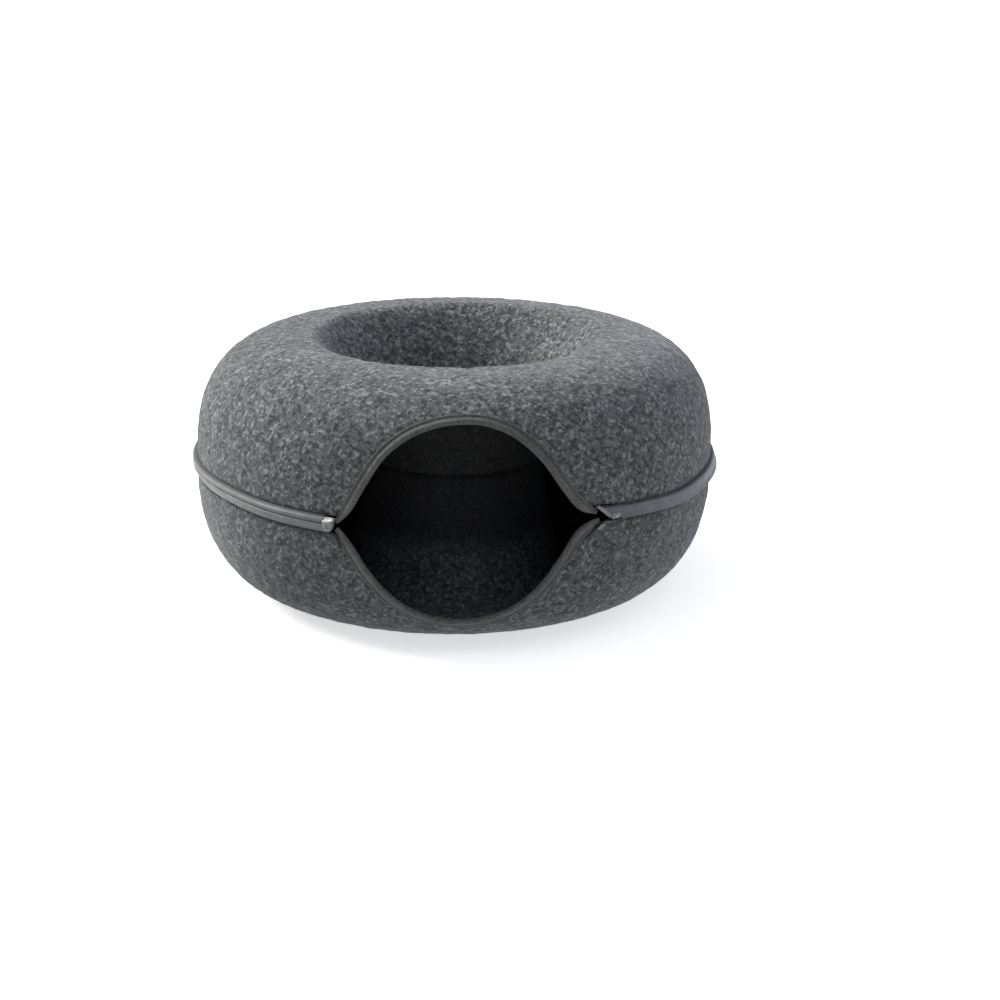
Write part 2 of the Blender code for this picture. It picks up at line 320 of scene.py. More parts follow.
def felt_shell(half):
    """A shell's skin: rows go from the outer cut over the outer skin to the throat, and back inside.

    The two cut ends are half ellipses, CUT_ROUND long and as thick as the felt.
    """
    angle = np.linspace(0, 360, FELT_COLUMNS, endpoint=False)[:, None]
    edge, throat = felt_edge(half, angle), PROFILES[half][0][-1] - THROAT_GAP
    bound = smooth(*BOUND_FROM, edge - zip_edge(half, angle))
    first, last = edge + CUT_ROUND, throat - CUT_ROUND
    out = first + (last - first) * np.linspace(0, 1, OUTER_ROWS)
    back = last + (first - last) * np.linspace(0, 1, INNER_ROWS)
    turn = np.linspace(math.pi / 2, -math.pi / 2, CUT_ROWS + 2)[1:-1]
    over_throat = last + CUT_ROUND * np.cos(turn) + 0 * angle
    over_edge = first - CUT_ROUND * np.cos(turn)
    arc = np.concatenate([out, over_throat, back, over_edge[:, ::-1]], axis=1)
    end = FELT_THICK / 2 * (np.sin(turn) - 1)
    lift = np.r_[np.zeros(OUTER_ROWS), end, np.full(INNER_ROWS, -FELT_THICK), end[::-1]]
    outer, inner = (
        deep * bound * (1 - smooth(PRESSED_FULL, wide, arc - edge))
        for deep, wide in zip(PRESSED, PRESSED_WIDTH)
    )
    lift = lift - outer + (outer + inner) * -lift / FELT_THICK
    flat = on_felt(half, angle, arc, lift)
    free = 1.0
    for span, away in zip(LUMPS_FROM, (arc - edge, throat - arc, flat[..., 2])):
        free = free * smooth(*span, away)
    points = on_felt(half, angle, arc, lift + free * lumps(flat))
    over = np.minimum(1 - np.sin(turn), 1)
    inside = np.r_[np.zeros(OUTER_ROWS), over, np.ones(INNER_ROWS), (1 + np.sin(turn)) / 2]
    values = {
        # painted shade on the inner skin, for the shade inside the cave
        "inside": INSIDE_SHADE_SHARE[half] * inside * smooth(*INSIDE_SHADE_FROM, flat[..., 2]),
        # painted shade along the cut edges and under the seam at the throat
        "edge": bell(arc - edge, EDGE_REACH) + bell(throat - arc, SEAM_REACH[half]),
    }
    piece = swept(f"felt_{half}_shell", points, "felt", True, half == "lower", values=values)
    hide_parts(f"felt_{half}")
    return piece


shells = {half: felt_shell(half) for half in HALVES}


def node(tree, kind, inputs=None, **settings):
    """A shader node, whose named or numbered inputs each take a value, or the output linked to them."""
    made = tree.nodes.new(f"ShaderNode{kind}")
    for key, value in settings.items():
        setattr(made, key, value)
    for key, value in (inputs or {}).items():
        if isinstance(value, bpy.types.NodeSocket):
            tree.links.new(value, made.inputs[key])
        else:
            made.inputs[key].default_value = value
    return made


def number(tree, operation, *values):
    """The output of a Math node on values and outputs."""
    return node(tree, "Math", dict(enumerate(values)), operation=operation).outputs[0]


def between(tree, value, low, high, from_value=0.0, to_value=1.0):
    """The output of a smooth Map Range node, clamped outside low and high."""
    inputs = {"Value": value, "From Min": low, "From Max": high, "To Min": from_value, "To Max": to_value}
    return node(tree, "MapRange", inputs, interpolation_type="SMOOTHSTEP").outputs[0]


def blended(tree, share, first, second, blend="MIX"):
    """The colour output of a Mix node; a colour is an output or three linear numbers."""
    colours = [c if isinstance(c, bpy.types.NodeSocket) else (*c, 1) for c in (first, second)]
    inputs = {0: share, 6: colours[0], 7: colours[1]}
    return node(tree, "Mix", inputs, data_type="RGBA", blend_type=blend).outputs[2]


def finish(name, constants):
    """A material and its node tree, with its Principled shader's plain sockets set."""
    material = bpy.data.materials.new(name)
    material.use_nodes = True
    for key, value in constants.items():
        material.node_tree.nodes["Principled BSDF"].inputs[key].default_value = value
    return material, material.node_tree


def wired(material, outputs):
    """The material, with these outputs linked to its Principled shader's sockets."""
    tree = material.node_tree
    for key, output in outputs.items():
        tree.links.new(output, tree.nodes["Principled BSDF"].inputs[key])
    return material


def place_on(tree):
    """The piece's own coordinates, in metres."""
    return node(tree, "TexCoord").outputs["Object"]


def painted(tree, name):
    """The number that a piece carries at each point under this name."""
    return node(tree, "Attribute", attribute_name=name).outputs["Fac"]


def noise(tree, place, scale, detail=2.0, output=0):
    """A Noise node's value, or its colour as output 1."""
    return node(tree, "TexNoise", {"Vector": place, "Scale": scale, "Detail": detail}).outputs[output]


def varied(tree, value, low, high):
    """From low to high over the range where most of a noise's values lie."""
    return between(tree, value, 0.3, 0.7, low, high)


def darkened(tree, colour, shade):
    """A colour, with its three parts multiplied by a shade."""
    grey = node(tree, "CombineColor", {0: shade, 1: shade, 2: shade}).outputs[0]
    return blended(tree, 1.0, colour, grey, "MULTIPLY")


def bumped(tree, height, strength, depth):
    """The normal over a height, whose 1 is depth metres."""
    return node(tree, "Bump", {"Height": height, "Strength": strength, "Distance": depth}).outputs[0]


# The felt is needled from black, grey and white fibres, which show as short soft flecks.
FELT_MID = (0.112, 0.114, 0.119)
FELT_DARK = (0.036, 0.037, 0.041)
FELT_LIGHT = (0.272, 0.275, 0.280)
FLECKS = (
    # turned about x, y and z in degrees, then the cell's width and length in millimetres
    (12, 25, 0, 3.9, 6.7),
    (70, 0, 35, 3.7, 7.1),
    (95, 0, -40, 3.9, 6.5),
    (-15, -50, 20, 3.7, 6.9),
)
FLECK_LIGHT = (0.52, 0.72)  # where a light fleck starts and where it is full
FLECK_DARK = (0.50, 0.32)
FLECK_DARKEST = 0.9
BEND_SCALE = 0.09
BEND_REACH = 5.0  # millimetres
HAIRS = ((40, 10, 0), (110, 60, 0), (75, -45, 0))  # turned about x, y and z in degrees
HAIR_CELL = (0.9, 7.0)
HAIR_WIDTH = 0.018
HAIR_SHARES = (0.2, 0.25)  # of the light and of the dark hairs
INSIDE_SHADE = 0.36  # painted shade: the inner skin is darkened to stand for the shade inside the cave
INSIDE_PLAIN = 0.6  # how much of the flecks' contrast is lost there
EDGE_SHADE = 0.45
RELIEF = (-0.7, 0.6, 0.15)  # of dark flecks, grain and hairs, beside the light flecks' 1


def felt_material():
    """Flecks are the brightest or darkest of two stretched noises each, over a bent space.

    Hairs are thin lines where a stretched noise passes through its middle value.
    """
    material, tree = finish(
        "heathered_felt",
        {
            "Roughness": 0.95,
            "Specular IOR Level": 0.2,
            "Sheen Weight": 0.2,
            "Sheen Roughness": 0.45,
            "Sheen Tint": (0.86, 0.9, 1.0, 1.0),
        },
    )
    millimetres = node(tree, "VectorMath", {0: place_on(tree), 3: 1 / MM}, operation="SCALE").outputs[0]
    bend = noise(tree, millimetres, BEND_SCALE, 1.0, output=1)
    bend = node(tree, "VectorMath", {0: bend, 1: (0.5, 0.5, 0.5)}, operation="SUBTRACT").outputs[0]
    bend = node(tree, "VectorMath", {0: bend, 3: BEND_REACH}, operation="SCALE").outputs[0]
    bent = node(tree, "VectorMath", {0: millimetres, 1: bend}, operation="ADD").outputs[0]

    def stretched(turn, width, length, detail):
        """Noise on cells of a width and a length, turned in space."""
        turn = [math.radians(a) for a in turn]
        cell = {"Vector": bent, "Rotation": turn, "Scale": (width, width, length)}
        return noise(tree, node(tree, "Mapping", cell, vector_type="TEXTURE").outputs[0], 1.0, detail)

    noises = [stretched(row[:3], row[3], row[4], 1.5) for row in FLECKS]
    light = between(tree, number(tree, "MAXIMUM", *noises[:2]), *FLECK_LIGHT)
    dark = between(tree, number(tree, "MINIMUM", *noises[2:]), *FLECK_DARK)
    middles = [number(tree, "SUBTRACT", stretched(turn, *HAIR_CELL, 0.0), 0.5) for turn in HAIRS]
    lines = [between(tree, number(tree, "ABSOLUTE", m), HAIR_WIDTH, 0.0) for m in middles]
    grain, patch = noise(tree, bent, 1.7), noise(tree, millimetres, 0.035)

    colour = blended(tree, light, FELT_MID, FELT_LIGHT)
    layers = (
        (dark, FLECK_DARKEST, FELT_DARK),
        (lines[0], HAIR_SHARES[0], FELT_LIGHT),
        (lines[1], HAIR_SHARES[1], FELT_DARK),
        (painted(tree, "inside"), INSIDE_PLAIN, FELT_MID),
    )
    for mask, share, tone in layers:
        colour = blended(tree, number(tree, "MULTIPLY", mask, share), colour, tone)
    shade = number(tree, "MULTIPLY", varied(tree, grain, 0.9, 1.1), varied(tree, patch, 0.92, 1.08))
    # painted shade: darker on the inner skin, near the cut edges and under the seam at the throat
    for attribute, low, darker in (("inside", 0.3, INSIDE_SHADE), ("edge", 0.0, EDGE_SHADE)):
        mask = between(tree, painted(tree, attribute), low, 1.0, 1.0, darker)
        shade = number(tree, "MULTIPLY", shade, mask)

    height = light
    for part, share in zip((dark, grain, number(tree, "MAXIMUM", lines[0], lines[2])), RELIEF):
        height = number(tree, "MULTIPLY_ADD", part, share, height)
    normal = bumped(tree, height, 0.8, 0.2 * MM)
    return wired(material, {"Base Color": darkened(tree, colour, shade), "Normal": normal})


felt_finish = felt_material()
for shell in shells.values():
    shell.data.materials.append(felt_finish)

# ---------------------------------------------------------------------------------------------
# The felt's loose fibres. Polyester staple stands off pressed felt all over as a short, sparse
# fuzz, most of it lying along the skin.
# ---------------------------------------------------------------------------------------------
FIBRES = 5200
FIBRE_RINGS = 4
FIBRE_RADIUS = 0.055 * MM
FIBRE_LENGTHS = (2.5 * MM, 7.5 * MM)
FIBRE_RISES = (0.15 * MM, 1.1 * MM)
FIBRE_SIDES = 3
FIBRE_SEEDS = {"upper": 11, "lower": 12}
FIBRE_CURL = 1.3  # radians over its length, at most
FIBRE_BOW = (0.12, 0.8)  # where on a half wave it starts, and how much of it it follows
BARE_EDGE = 12.0 * MM  # from the cut, where the binding or the tape covers the felt
BARE_THROAT = 8.0 * MM
BARE_BASE = 8.0 * MM  # below this height the floor presses the fibres flat


def tubes(name, paths, ups, radii, sides, slot, values=None):
    """Many short closed tubes: each path point carries a ring, round the path and its up vector.

    A ring's points are path + radius * (cos * up + sin * side), where side is tangent x up.
    """
    count, rings, _ = paths.shape
    tangent = np.gradient(paths, axis=1)
    side = np.cross(tangent, ups)
    side /= np.linalg.norm(side, axis=2, keepdims=True)
    up = np.cross(side, tangent)
    up /= np.linalg.norm(up, axis=2, keepdims=True)
    turn = np.linspace(0, 2 * math.pi, sides, endpoint=False)[:, None]
    spread = np.cos(turn) * up[:, :, None] + np.sin(turn) * side[:, :, None]
    points = paths[:, :, None] + radii[..., None, None] * spread
    tube = np.arange(count)[:, None, None] * rings * sides
    ring = np.arange(rings - 1)[:, None] * sides
    point, after = np.arange(sides), (np.arange(sides) + 1) % sides
    corners = (ring + point, ring + after, ring + sides + after, ring + sides + point)
    quads = (tube[..., None] + np.stack(corners, -1)).reshape(-1, 4)
    ends = np.concatenate([tube[:, 0] + point[::-1], tube[:, 0] + (rings - 1) * sides + point])
    return piece_of(name, points, list(quads) + list(ends), slot, values)


def fibres(half):
    """Fibres scattered evenly over a shell's outer skin, each bowed up from it and lower at its ends.

    A fibre's heading and curl are random in the skin, and its lift follows part of a half wave.
    """
    draw = np.random.default_rng(FIBRE_SEEDS[half])
    even, radius, height, *_ = PROFILES[half]
    spread = np.cumsum(radius) / radius.sum()
    arc = np.interp(draw.uniform(size=FIBRES), spread, even)
    angle = draw.uniform(-180, 180, FIBRES)
    heading = draw.uniform(0, 2 * math.pi, FIBRES)
    length = draw.uniform(*FIBRE_LENGTHS, FIBRES)
    curl = draw.uniform(-FIBRE_CURL, FIBRE_CURL, FIBRES)
    rise = draw.uniform(*FIBRE_RISES, FIBRES) * draw.uniform(0.3, 1, FIBRES)
    tone = draw.uniform(size=FIBRES)
    kept = (arc > felt_edge(half, angle) + BARE_EDGE) & (arc < even[-1] - BARE_THROAT)
    kept = kept & (np.interp(arc, even, height) > BARE_BASE)
    arc, angle, heading, length, curl, rise, tone = (
        v[kept, None] for v in (arc, angle, heading, length, curl, rise, tone)
    )
    share = np.linspace(0, 1, FIBRE_RINGS)
    way = heading + curl * share
    along = arc + length * share * np.cos(way)
    around = angle + np.degrees(length * share * np.sin(way) / np.interp(along, even, radius))
    lift = 0.1 * MM + rise * np.sin(math.pi * (FIBRE_BOW[0] + FIBRE_BOW[1] * share))
    paths = on_felt(half, around, along, lift)
    ups = on_felt(half, around, along, lift + MM) - paths
    radii = FIBRE_RADIUS * (1 - 0.5 * share) + 0 * arc
    values = {"tone": np.broadcast_to(tone[..., None], (*paths.shape[:2], FIBRE_SIDES))}
    return tubes(f"felt_{half}_fuzz", paths, ups, radii, FIBRE_SIDES, "felt", values)


fuzz = {half: fibres(half) for half in HALVES}


def fuzz_material():
    """Each fibre has one tone of the blend, from near black over grey to white."""
    constants = {"Roughness": 0.6, "Specular IOR Level": 0.3, "Sheen Weight": 0.3}
    material, tree = finish("loose_fibre", constants)
    ramp = node(tree, "ValToRGB", {0: painted(tree, "tone")})
    ramp.color_ramp.elements[0].color = (*FELT_DARK, 1)
    ramp.color_ramp.elements[1].color = (0.42, 0.42, 0.42, 1)
    ramp.color_ramp.elements.new(0.5).color = (0.16, 0.16, 0.165, 1)
    rough = varied(tree, noise(tree, place_on(tree), 900.0), 0.5, 0.75)
    return wired(material, {"Base Color": ramp.outputs[0], "Roughness": rough})


fibre_finish = fuzz_material()
for half, shell in shells.items():
    fuzz[half].data.materials.append(fibre_finish)

# ---------------------------------------------------------------------------------------------
# The bindings. Each real one is a strip of smooth grey tape, folded over the cut edge of one arch
# and topstitched along the middle of its outer leg, with both ends left loose at the corners.
# ---------------------------------------------------------------------------------------------
STRIP_THICK = 0.8 * MM
BINDING_WIDTH = 9.4 * MM
BINDING_ANGLES = {"upper": (-24.1, 29.9), "lower": (-24.0, 30.6)}
BINDING_TAPER = 0.07  # of its length, at each end
BINDING_TIP = 0.45  # of its width, at its tips
BINDING_STATIONS = 300
BINDING_AROUND = 0.044  # metres of cloth round its section
SLOPE_STEP = 0.05  # degrees, over which the rim's slope is taken
BINDING_SECTION = (
    # share of the width from the rim into the felt, lift outside the felt's skin in millimetres
    (1.00, -0.10),
    (0.88, 0.15),
    (0.78, 0.00),
    (0.69, -0.20),
    (0.60, -0.15),
    (0.52, 0.35),
    (0.42, 0.90),
    (0.26, 1.20),
    (0.11, 1.00),
    (0.02, 0.25),
    (0.00, -0.90),
    (0.03, -2.20),
    (0.14, -3.10),
    (0.36, -3.60),
    (0.70, -3.95),
    (1.00, -4.30),
)
SECTION_POINTS = 48
FOLD_MIDDLE = -1.7 * MM  # the lift to which the loose tips close
PINCHED = 0.45 * MM  # from there to each leg
STITCH_SHARE = 0.68  # of the width, where the thread runs in its groove
GROOVE_SHARE = 0.19  # half the width of the painted shade over the groove and the flange


def strip_section(line, thickness):
    """A closed section round a line: the line shifted by half the thickness to each side.

    The shift falls to nothing over the last half thickness at each end, on a quarter ellipse.
    """
    steps = np.linalg.norm(np.diff(line, axis=1), axis=2)
    run = np.concatenate([np.zeros((len(line), 1)), np.cumsum(steps, axis=1)], axis=1)
    end = np.minimum(run, run[:, -1:] - run) / (thickness / 2)
    shift = thickness / 2 * np.sqrt(1 - (1 - np.clip(end, 0, 1)) ** 2)
    tangent = np.gradient(line, axis=1)
    tangent /= np.linalg.norm(tangent, axis=2, keepdims=True)
    normal = np.stack([-tangent[..., 1], tangent[..., 0]], -1)
    left, right = line + shift[..., None] * normal, line - shift[..., None] * normal
    return np.concatenate([left, right[:, -2:0:-1]], axis=1)


def run_along(points):
    """The distance from the first point to each one, along a line of points."""
    return np.r_[0, np.cumsum(np.linalg.norm(np.diff(points, axis=0), axis=1))]


def cloth_uv(along, around, count):
    """u goes along a strip and v round its section of count points, both in metres."""
    return np.stack(np.broadcast_arrays(along[:, None], around * np.linspace(0, 1, count)), -1)


def binding_shape(half, angle):
    """The rim's arc, its slope, the width and the fullness of a binding at each angle."""
    start, end = BINDING_ANGLES[half]
    column = 2 if half == "upper" else 3
    rim, ahead = doorway(column, angle), doorway(column, angle + SLOPE_STEP)
    slope = (ahead - rim) / (math.radians(SLOPE_STEP) * FELT_RADIUS)
    share = (angle - start) / (end - start)
    full = smooth(0, BINDING_TAPER, np.minimum(share, 1 - share))
    return rim, slope, BINDING_WIDTH * (BINDING_TIP + (1 - BINDING_TIP) * full), full


def on_binding(half, angle, depth, lift):
    """Points at a depth from the rim into the felt, square to the rim, and at a lift."""
    rim, slope, _, _ = binding_shape(half, angle)
    length = np.hypot(slope, 1)
    shift = np.degrees(depth * slope / length / FELT_RADIUS)
    return on_felt(half, angle - shift, rim + depth / length, lift)


def folded(half, angle):
    """Depth and lift of the folded strip's middle line at each angle, closed flat at its tips."""
    _, _, width, full = binding_shape(half, angle)
    share, lift = np.array(BINDING_SECTION).T
    run = run_along(np.stack([share * BINDING_WIDTH / MM, lift], -1))
    where = np.linspace(0, run[-1], SECTION_POINTS)
    share, lift = hermite(run, np.stack([share, lift * MM], -1), where).T
    opened = lift - FOLD_MIDDLE
    flat = PINCHED * np.tanh(opened / PINCHED)
    lift = FOLD_MIDDLE + full[:, None] * opened + (1 - full[:, None]) * flat
    # painted shade over the stitched groove and the sunk flange, on the outer leg only
    groove = bell(share - STITCH_SHARE, GROOVE_SHARE) * (opened > 0)
    return width[:, None] * np.clip(share, 0, None), lift, groove


def binding(half):
    """The strip's closed section, carried along the rim, with its stations closer at both tips."""
    start, end = BINDING_ANGLES[half]
    even = np.linspace(0, 1, BINDING_STATIONS)
    angle = start + (end - start) * (even + (1 - np.cos(math.pi * even)) / 2) / 2
    depth, lift, groove = folded(half, angle)
    section = strip_section(np.stack([depth, lift], -1), STRIP_THICK)
    points = on_binding(half, angle[:, None], section[..., 0], section[..., 1])
    values = {"groove": np.r_[groove, groove[-2:0:-1]]}
    uv = cloth_uv(run_along(points[:, 0]), BINDING_AROUND, section.shape[1])
    piece = swept(f"binding_{half}_strip", points, "binding", flip=half == "lower", values=values, uv=uv)
    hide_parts(f"binding_{half}")
    return piece


bindings = {half: binding(half) for half in HALVES}

STITCH_PITCH = 3.2 * MM
STITCH_LENGTH = 2.3 * MM
STITCH_START = 0.6  # degrees from each tip
STITCH_RINGS = 5
STITCH_SIDES = 6
THREAD_RADIUS = 0.22 * MM
THREAD_ARCH = (1.4, 0.9)  # in its radii: how far a stitch arches up, from how far down
GROOVE_POINTS = 2000
GROOVE_LIFT = -0.2 * MM


def stitches(half):
    """Thread stitches in the binding's groove, evenly spaced along it, each dipping at its ends."""
    start, end = BINDING_ANGLES[half]
    angle = np.linspace(start + STITCH_START, end - STITCH_START, GROOVE_POINTS)
    depth = STITCH_SHARE * binding_shape(half, angle)[2]
    run = run_along(on_binding(half, angle, depth, 0 * angle))
    first = np.arange(STITCH_PITCH, run[-1] - STITCH_PITCH, STITCH_PITCH)
    share = np.linspace(-0.5, 0.5, STITCH_RINGS)
    here = np.interp(first[:, None] + STITCH_LENGTH * share, run, angle)
    _, _, width, full = binding_shape(half, here)
    opened = GROOVE_LIFT - FOLD_MIDDLE
    lift = FOLD_MIDDLE + full * opened + (1 - full) * PINCHED + STRIP_THICK / 2
    lift = lift + THREAD_RADIUS * (THREAD_ARCH[0] * np.cos(math.pi * share) - THREAD_ARCH[1])
    paths = on_binding(half, here, STITCH_SHARE * width, lift)
    ups = on_binding(half, here, STITCH_SHARE * width, lift + MM) - paths
    radii = THREAD_RADIUS * np.sqrt(np.clip(1 - (2 * share) ** 4, 0.1, 1)) + 0 * here
    return tubes(f"binding_{half}_stitches", paths, ups, radii, STITCH_SIDES, "binding")


threads = {half: stitches(half) for half in HALVES}


def weave_group():
    """Plain weave: in turn the thread along u and the one along v lies on top, each a round ridge."""
    group = bpy.data.node_groups.new("plain_weave", "ShaderNodeTree")
    group.interface.new_socket("Cloth", in_out="INPUT", socket_type="NodeSocketVector")
    group.interface.new_socket("Pitch", in_out="INPUT", socket_type="NodeSocketFloat")
    group.interface.new_socket("Height", in_out="OUTPUT", socket_type="NodeSocketFloat")
    group.interface.new_socket("Tone", in_out="OUTPUT", socket_type="NodeSocketFloat")
    given = group.nodes.new("NodeGroupInput").outputs
    taken = group.nodes.new("NodeGroupOutput").inputs
    cloth = node(group, "SeparateXYZ", {0: given["Cloth"]}).outputs
    u, v = (number(group, "DIVIDE", cloth[i], given["Pitch"]) for i in (0, 1))
    row, column = (number(group, "FLOOR", x) for x in (u, v))
    over = number(group, "FLOORED_MODULO", number(group, "ADD", row, column), 2.0)
    waves = [number(group, "SINE", number(group, "MULTIPLY", x, math.pi)) for x in (u, v)]
    ridges = [number(group, "ABSOLUTE", wave) for wave in waves]
    heights = [
        number(group, "MULTIPLY", across, number(group, "MULTIPLY_ADD", along, 0.3, 0.7))
        for across, along in (ridges, ridges[::-1])
    ]
    height, thread = (
        number(group, "MULTIPLY_ADD", over, number(group, "SUBTRACT", second, first), first)
        for first, second in (heights, (row, column))
    )
    side = node(group, "CombineXYZ", {0: thread, 1: over}).outputs[0]
    tone = node(group, "TexWhiteNoise", {"Vector": side}, noise_dimensions="2D").outputs[0]
    group.links.new(height, taken["Height"])
    group.links.new(tone, taken["Tone"])
    return group


weave = weave_group()


def woven_material(name, colour, light, pitch, depth, speckled, shaded, constants):
    """Woven tape: each thread has its own tone, its gaps carry painted shade, and soft patches are worn
    lighter.

    shaded names attributes, each with what red, green and blue are multiplied by where it is 1.
    """
    material, tree = finish(name, constants)
    cloth = node(tree, "UVMap", uv_map="along_and_across").outputs[0]
    threads_of = tree.nodes.new("ShaderNodeGroup")
    threads_of.node_tree = weave
    threads_of.inputs["Pitch"].default_value = pitch
    tree.links.new(cloth, threads_of.inputs["Cloth"])
    height, tone = threads_of.outputs
    place = place_on(tree)
    worn, fine = noise(tree, place, 90.0, 3.0), noise(tree, place, 430.0)
    share = number(tree, "MULTIPLY_ADD", tone, 0.3, varied(tree, worn, 0.0, 0.5))
    # painted shade in the gaps between the threads
    gaps = between(tree, height, 0.0, 0.7, 0.72, 1.0)
    shade = number(tree, "MULTIPLY", gaps, varied(tree, fine, 1 - speckled, 1 + speckled))
    base = darkened(tree, blended(tree, share, colour, light), shade)
    for attribute, factors in shaded.items():
        factor = blended(tree, painted(tree, attribute), (1, 1, 1), factors)
        base = blended(tree, 1.0, base, factor, "MULTIPLY")
    rough, normal = varied(tree, worn, 0.62, 0.5), bumped(tree, height, 0.7, depth)
    return wired(material, {"Base Color": base, "Roughness": rough, "Normal": normal})


binding_finish = woven_material(
    "binding_tape",
    (0.070, 0.074, 0.070),
    (0.110, 0.115, 0.109),
    pitch=0.55 * MM,
    depth=0.1 * MM,
    speckled=0.3,
    # painted shade over the stitched groove and the flange beside it
    shaded={"groove": (0.45, 0.45, 0.45)},
    constants={"Specular IOR Level": 0.3, "Sheen Weight": 0.25, "Sheen Roughness": 0.4},
)


def thread_material():
    """Twisted sewing thread, a little lighter than the tape, with its turns as fine slanting bands."""
    material, tree = finish("sewing_thread", {"Specular IOR Level": 0.35, "Sheen Weight": 0.2})
    inputs = {"Vector": place_on(tree), "Scale": 900.0, "Distortion": 2.0}
    turns = node(tree, "TexWave", inputs, bands_direction="DIAGONAL").outputs["Fac"]
    colour = blended(tree, turns, (0.085, 0.087, 0.084), (0.17, 0.172, 0.168))
    rough = between(tree, turns, 0.0, 1.0, 0.6, 0.45)
    return wired(material, {"Base Color": colour, "Roughness": rough})


thread_finish = thread_material()
for half, strip in bindings.items():
    strip.data.materials.append(binding_finish)
    threads[half].data.materials.append(thread_finish)

# ---------------------------------------------------------------------------------------------
# The zip. Each real tape is sewn behind the felt's edge and rolled outwards, so that the two of
# them stand proud as one smooth grey band, and the closed coil lies behind the line between them.
# ---------------------------------------------------------------------------------------------
CLOTH_THICK = 1.2 * MM
BAND_PROUD = 4.0 * MM
PARTING_DROP = (1.65 * MM, 3.35 * MM)  # the tapes meet below the middle, and further on the right
PARTING_HALF = 0.12 * MM  # from each tape to the line where they meet
SEWN_MARGIN = 8.0 * MM
SEWN_ROWS = ((1.0, 0.0), (0.3, 0.0), (0.0, 0.9 * MM))  # shares of the margin, less a length
SEWN_GAP = 0.2 * MM  # from the felt's inner skin
SEWN_REACH = 1.6 * MM  # along the felt's edge, where the tape lies in the seam's shade
TAPE_ENDS = {"upper": (32.5, 333.7), "lower": (32.3, 333.7)}
CUT_SLANT = 265.0  # degrees a metre: the tapes' right ends are cut along the doorway's slanting edge
CUT_SLANT_FADE = 4.0  # degrees
LIP = {"upper": (0.6, 1.0), "lower": (0.9, 1.5)}  # degrees from its right end, where a tape comes out
SWELL = 0.5  # by how much more the band stands proud on the right side
SWELL_TURN = (36.0, 60.0)  # degrees, where that sets in
LIP_LIFT = 0.5 * MM
LIP_MARGIN = {"upper": 0.1, "lower": 0.7}  # of the sewn margin, which is left at the right end
OPEN_TAPE_ANGLES = (34.2, 35.8)  # the tapes part round the slider
TAPE_FRONT = (40.0, 0.1)  # degrees: up to the first, the stations are the second apart
TAPE_STATIONS = 760
TAPE_AROUND = 0.06  # metres of cloth round its section
CUT_SHARE = (0.55, 0.8)  # of the way to the meeting line, where the painted highlight on the cut end fades
ROLL_SHARE = (0.5, 0.65)  # of that way, where the painted highlight on the upper tape's roll sets in
SLIDER_HEIGHT = 5.4 * MM
TAPE_SECTIONS = {
    # share of the way from the felt's edge to the meeting line and share of BAND_PROUD, on the
    # left and then on the right
    "upper": (
        (0.05, -0.05, 0.04, 0.02),
        (0.16, 0.38, 0.11, 0.40),
        (0.30, 0.88, 0.36, 0.64),
        (0.50, 1.02, 0.70, 0.70),
        (0.70, 0.94, 0.80, 0.80),
        (0.88, 0.68, 0.90, 1.02),
        (1.00, 0.38, 1.00, 0.78),
    ),
    "lower": (
        (0.04, -0.12, 0.08, -0.05),
        (0.18, 0.10, 0.24, 0.16),
        (0.38, 0.42, 0.44, 0.36),
        (0.58, 0.72, 0.64, 0.56),
        (0.78, 0.93, 0.80, 0.72),
        (0.90, 0.97, 0.92, 0.80),
        (1.00, 0.62, 1.00, 0.70),
    ),
}
TAPE_POINTS = 34


def parting(angle):
    """The height, from the seam height, of the line where the two tapes meet."""
    mean, swing = PARTING_DROP
    return zip_rise(angle) - mean - swing * to_the_right(angle)


def tape_line(half, angle):
    """Lift and arc of a tape's middle line at each angle, from its sewn edge to the other tape."""
    opening = 1 - smooth(*OPEN_TAPE_ANGLES, angle)
    apart = PARTING_HALF + opening * SLIDER_HEIGHT / 2
    felt = zip_edge(half, angle)
    meeting = np.minimum(HALVES[half][0] * parting(angle) + apart, felt - MM)
    left, right = np.array(TAPE_SECTIONS[half]).reshape(-1, 2, 2, 1).transpose(1, 2, 0, 3)
    to_right = (1 + to_the_right(angle)) / 2
    share, proud = left + (right - left) * to_right
    proud = proud * (1 + SWELL * to_right * smooth(*SWELL_TURN, angle))
    behind = -FELT_THICK - CLOTH_THICK / 2 - SEWN_GAP
    lip = 1 - smooth(*LIP[half], angle - TAPE_ENDS[half][0])
    margin = SEWN_MARGIN * (1 + (LIP_MARGIN[half] - 1) * lip)
    shares, less = np.array(SEWN_ROWS).T[..., None]
    arc = np.concatenate([felt + shares * margin - less, felt + (meeting - felt) * share])
    sewn = np.array([[behind], [behind], [behind / 2]]) * (1 - lip) + LIP_LIFT * lip
    line = np.stack([np.concatenate([sewn, BAND_PROUD * proud]), arc], -1)
    run = np.r_[0, np.cumsum(np.linalg.norm(np.diff(line, axis=0), axis=2).mean(axis=1))]
    return np.moveaxis(hermite(run, line, np.linspace(0, run[-1], TAPE_POINTS)), 0, 1)


